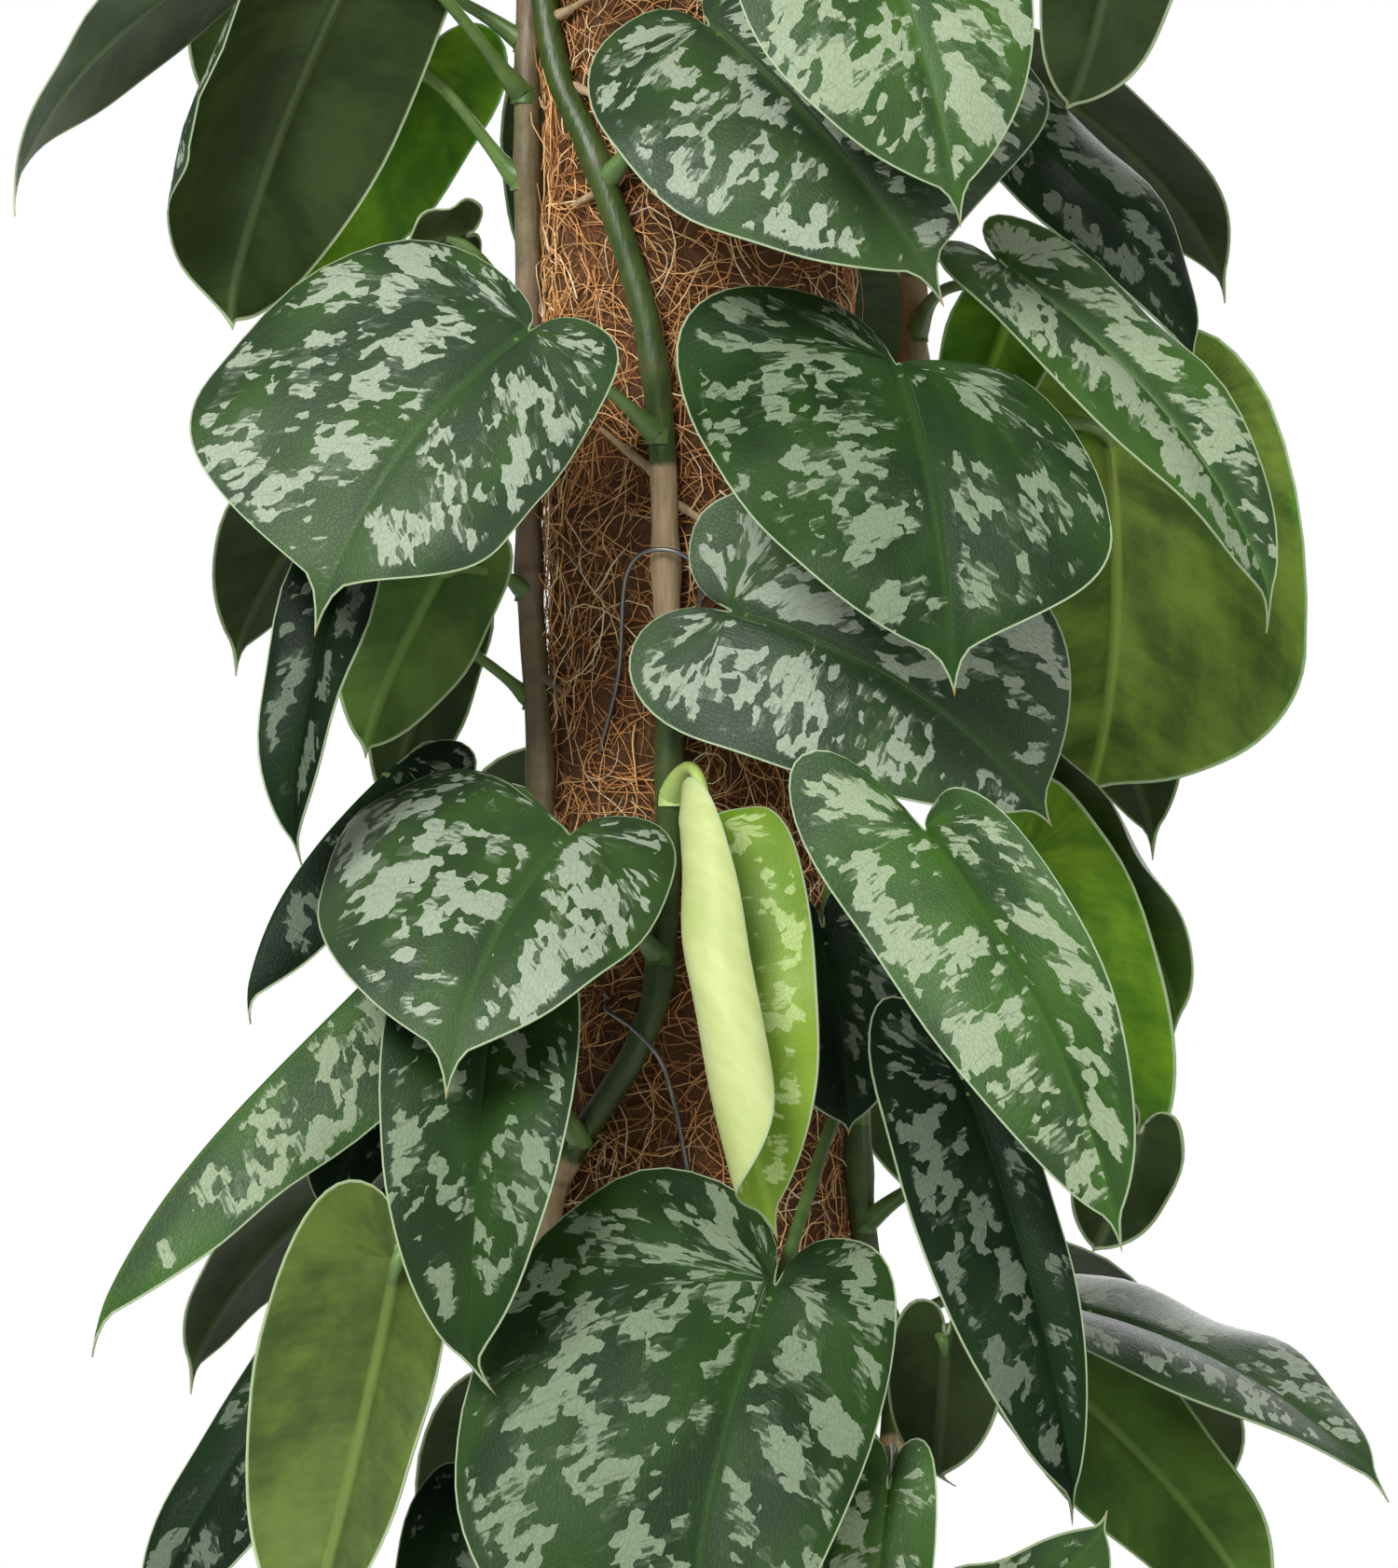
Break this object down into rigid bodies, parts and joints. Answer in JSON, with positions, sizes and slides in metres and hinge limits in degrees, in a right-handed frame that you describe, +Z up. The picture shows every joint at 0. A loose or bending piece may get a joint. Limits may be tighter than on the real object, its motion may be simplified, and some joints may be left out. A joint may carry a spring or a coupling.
{
  "type": "satin pothos on a coir pole",
  "caption": "Potted satin pothos: silver-marked heart-shaped leaves on stems pinned to an upright coir pole, in a plain nursery pot",
  "frame": {"origin": "middle of the pot's flat underside, on the surface it stands on", "axes": "+Z up along the pole, -Y the front that the picture shows, +X to the right seen from the front"},
  "size_m": [0.3099, 0.2407, 0.764],
  "materials": {
    "pot": "satin",
    "potting_mix": "matte",
    "pole_wood": "matte",
    "coir": "matte",
    "wire": "satin",
    "stem_green": "satin",
    "stem_brown": "matte",
    "leaf": "satin",
    "leaf_young": "satin"
  },
  "bodies": {
    "root": {"back_left_stem": "stem_green", "back_right_stem": "stem_green", "coir_sleeve": "coir", "front_stem": "stem_green", "leaf_01": "leaf", "leaf_02": "leaf", "leaf_03": "leaf", "leaf_04": "leaf", "leaf_05": "leaf", "leaf_06": "leaf", "leaf_07": "leaf", "leaf_08": "leaf", "leaf_09": "leaf", "leaf_10": "leaf", "leaf_11": "leaf", "leaf_12": "leaf", "leaf_13": "leaf", "leaf_14": "leaf_young", "leaf_15": "leaf", "leaf_16": "leaf", "leaf_17": "leaf", "leaf_18": "leaf", "leaf_19": "leaf", "leaf_20": "leaf", "leaf_21": "leaf", "leaf_22": "leaf", "leaf_23": "leaf", "leaf_24": "leaf", "leaf_25": "leaf", "leaf_26": "leaf", "leaf_27": "leaf", "leaf_28": "leaf", "leaf_29": "leaf", "leaf_30": "leaf", "leaf_31": "leaf", "leaf_32": "leaf", "leaf_33": "leaf", "leaf_34": "leaf", "leaf_35": "leaf", "leaf_36": "leaf", "leaf_37": "leaf", "leaf_38": "leaf", "leaf_39": "leaf", "leaf_40": "leaf", "leaf_41": "leaf", "leaf_42": "leaf", "leaf_43": "leaf", "leaf_44": "leaf", "leaf_45": "leaf", "leaf_46": "leaf", "left_stem": "stem_brown", "pole_core": "pole_wood", "pot": "pot", "right_stem": "stem_green", "soil": "potting_mix", "wire_pin_1": "wire", "wire_pin_2": "wire", "wire_pin_3": "wire"}
  },
  "joints": []
}
